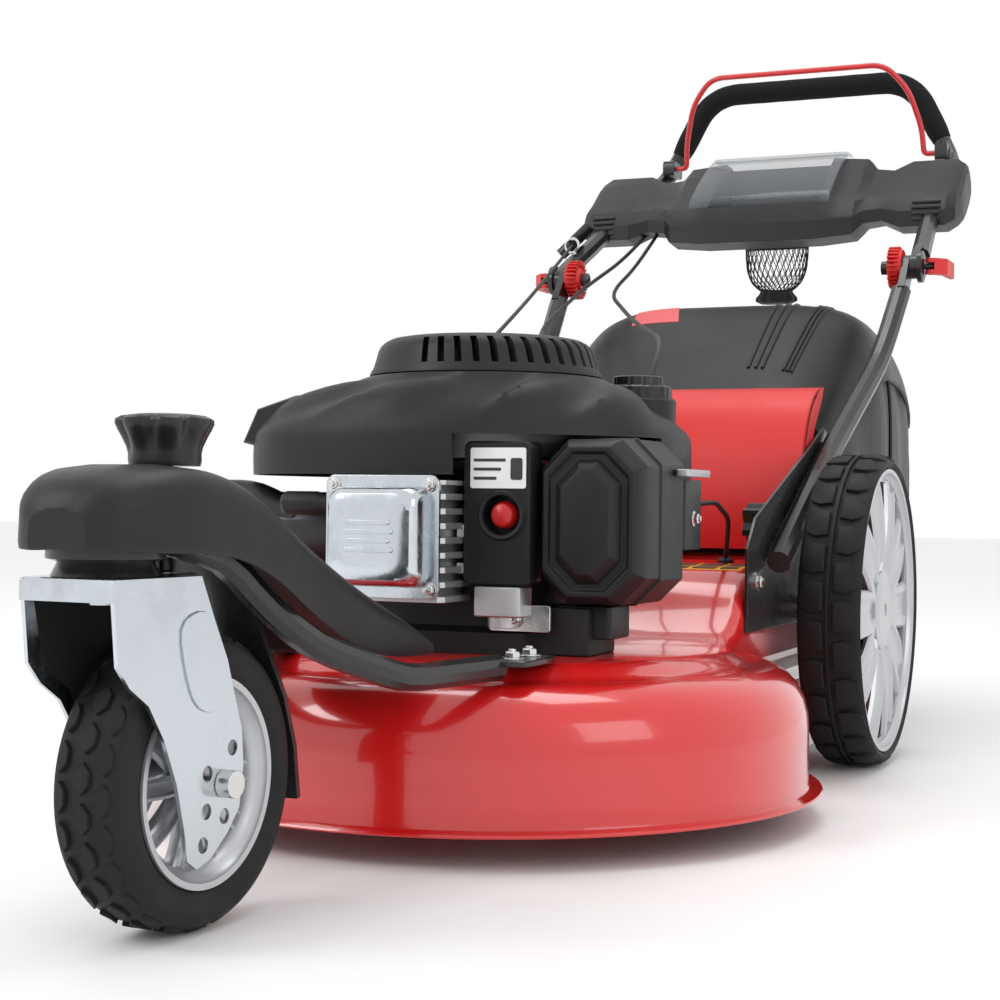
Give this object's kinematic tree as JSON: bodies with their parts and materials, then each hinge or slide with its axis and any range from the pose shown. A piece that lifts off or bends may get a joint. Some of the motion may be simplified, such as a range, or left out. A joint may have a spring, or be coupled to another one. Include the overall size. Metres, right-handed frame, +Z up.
{
  "type": "push lawn mower",
  "caption": "Petrol lawn mower with large rear wheels, a swivelling front wheel under an arched arm, a round steel deck, a folding handle with a lidded console, and a rear grass bag.",
  "frame": {"origin": "centre of the footprint box on the ground", "axes": "+Z up, the front caster towards -Y, the handle towards +Y, +X to the left of the person who pushes"},
  "size_m": [0.595, 1.8965, 0.9225],
  "materials": {
    "red_paint": "gloss enamel",
    "red_plastic": "satin moulded",
    "black_paint": "satin powder coat",
    "black_plastic": "fine grained moulded",
    "zinc": "bright zinc plated",
    "aluminium": "as cast",
    "silver_rim": "silver painted",
    "tyre": "matte",
    "rubber": "matte",
    "primer_rubber": "satin",
    "clear_plastic": "clear gloss",
    "fabric": "woven polyester",
    "foam": "soft foam",
    "dark_steel": "blackened"
  },
  "bodies": {
    "chassis": {"deck": "red_paint", "handle_bracket_left": "black_paint", "handle_bracket_right": "black_paint", "axle_stub_left": "zinc", "axle_stub_right": "zinc", "front_frame": "black_paint", "frame_cover": "black_plastic", "kingpin": "zinc", "crankcase": "black_paint", "cylinder_head": "aluminium", "valve_cover": "zinc", "engine_shroud": "black_plastic", "recoil_housing": "black_plastic", "carburettor_cover": "black_plastic", "air_filter_cover": "black_plastic", "carburettor": "aluminium", "fuel_tank": "black_plastic", "muffler": "dark_steel", "spark_plug_boot": "rubber", "lower_handle_left": "black_paint", "lower_handle_right": "black_paint", "clamp_seat_left": "red_plastic", "clamp_seat_right": "red_plastic", "link_cable": "rubber", "brake_cable": "rubber", "throttle_cable": "rubber", "starter_rope": "rubber"},
    "handle": {"upper_handle": "black_paint", "handle_grip": "foam", "console_body": "black_plastic", "net_pocket": "fabric", "rope_guide": "zinc", "clamp_bolt_left": "black_paint", "clamp_bolt_right": "black_paint"},
    "bail": {"brake_bail": "red_plastic"},
    "lid": {"console_lid": "clear_plastic"},
    "lever_left": {"cam_lever_left": "red_plastic"},
    "lever_right": {"cam_lever_right": "red_plastic"},
    "starter": {"starter_grip": "black_plastic"},
    "wheel_left": {"rear_tyre_left": "tyre", "rear_rim_left": "silver_rim"},
    "wheel_right": {"rear_tyre_right": "tyre", "rear_rim_right": "silver_rim"},
    "caster": {"caster_fork": "zinc", "caster_axle": "zinc"},
    "caster_wheel": {"caster_tyre": "tyre", "caster_rim": "silver_rim"},
    "lock_knob": {"caster_lock_knob": "black_plastic"},
    "rotor": {"crankshaft": "zinc", "flywheel": "aluminium", "blade": "dark_steel", "blade_bolt": "dark_steel"},
    "knob_left": {"star_knob_left": "black_plastic"},
    "knob_right": {"star_knob_right": "black_plastic"},
    "flap": {"rear_flap": "red_plastic"},
    "bag": {"grass_bag": "fabric", "bag_lid": "black_plastic"},
    "fuel_cap_body": {"fuel_cap": "black_plastic"},
    "oil_cap_body": {"oil_filler_cap": "black_plastic"},
    "primer": {"primer_bulb": "primer_rubber"}
  },
  "joints": [
    {"name": "handle_fold", "type": "hinge", "parent": "chassis", "child": "handle", "pos_m": [0, 0.5035, 0.574], "axis": [1, 0, 0], "range_deg": [0, 145], "deforming": ["brake_cable", "throttle_cable", "starter_rope"]},
    {"name": "bail_squeeze", "type": "hinge", "parent": "handle", "child": "bail", "pos_m": [0, 0.8905, 0.789], "axis": [-1, 0, 0], "range_deg": [0, 28], "stiffness_Nm_per_rad": 0.6, "springref_deg": -34.38},
    {"name": "lid_open", "type": "hinge", "parent": "handle", "child": "lid", "pos_m": [0, 0.7905, 0.773], "axis": [1, 0, 0], "range_deg": [-100, 0]},
    {"name": "lever_left_open", "type": "hinge", "parent": "handle", "child": "lever_left", "pos_m": [-0.2575, 0.5035, 0.574], "axis": [0, 0, 1], "range_deg": [0, 90]},
    {"name": "lever_right_open", "type": "hinge", "parent": "handle", "child": "lever_right", "pos_m": [0.2575, 0.5035, 0.574], "axis": [0, 0, -1], "range_deg": [0, 90]},
    {"name": "starter_pull", "type": "slide", "parent": "handle", "child": "starter", "axis": [-0.3509, 0.2506, 0.9023], "range_m": [0, 0.15], "stiffness_N_per_m": 20, "springref_m": -0.1},
    {"name": "wheel_left_spin", "type": "hinge", "parent": "chassis", "child": "wheel_left", "pos_m": [-0.24895, 0.1425, 0.165], "axis": [1, 0, 0], "continuous": true},
    {"name": "wheel_right_spin", "type": "hinge", "parent": "chassis", "child": "wheel_right", "pos_m": [0.24895, 0.1425, 0.165], "axis": [1, 0, 0], "continuous": true},
    {"name": "caster_swivel", "type": "hinge", "parent": "chassis", "child": "caster", "pos_m": [0, -0.8706, 0.2271], "axis": [0, 0, 1], "continuous": true},
    {"name": "caster_wheel_spin", "type": "hinge", "parent": "caster", "child": "caster_wheel", "pos_m": [0.0056, -0.79782, 0.0955], "axis": [0.9971, -0.0767, 0], "continuous": true},
    {"name": "lock_knob_lift", "type": "slide", "parent": "chassis", "child": "lock_knob", "axis": [0, 0, 1], "range_m": [0, 0.012], "stiffness_N_per_m": 300, "springref_m": -0.004},
    {"name": "engine_turn", "type": "hinge", "parent": "chassis", "child": "rotor", "pos_m": [0, -0.2945, 0.2], "axis": [0, 0, 1], "continuous": true},
    {"name": "knob_left_turn", "type": "hinge", "parent": "chassis", "child": "knob_left", "pos_m": [-0.165, 0.0205, 0.2565], "axis": [1, 0, 0], "continuous": true},
    {"name": "knob_right_turn", "type": "hinge", "parent": "chassis", "child": "knob_right", "pos_m": [0.165, 0.0205, 0.2565], "axis": [1, 0, 0], "continuous": true},
    {"name": "flap_lift", "type": "hinge", "parent": "chassis", "child": "flap", "pos_m": [0, 0.1465, 0.23], "axis": [1, 0, 0], "range_deg": [0, 55], "stiffness_Nm_per_rad": 0.5, "springref_deg": -28.65},
    {"name": "bag_pull", "type": "slide", "parent": "chassis", "child": "bag", "axis": [0, 1, 0], "range_m": [0, 0.2]},
    {"name": "fuel_cap_turn", "type": "hinge", "parent": "chassis", "child": "fuel_cap_body", "pos_m": [0.121, -0.2265, 0.369], "axis": [0, 0, 1], "range_deg": [0, 90]},
    {"name": "oil_cap_turn", "type": "hinge", "parent": "chassis", "child": "oil_cap_body", "pos_m": [-0.11, -0.2425, 0.225], "axis": [-1, 0, 0], "range_deg": [0, 180]},
    {"name": "primer_push", "type": "slide", "parent": "chassis", "child": "primer", "axis": [0, 1, 0], "range_m": [0, 0.005], "stiffness_N_per_m": 500, "springref_m": -0.001}
  ]
}
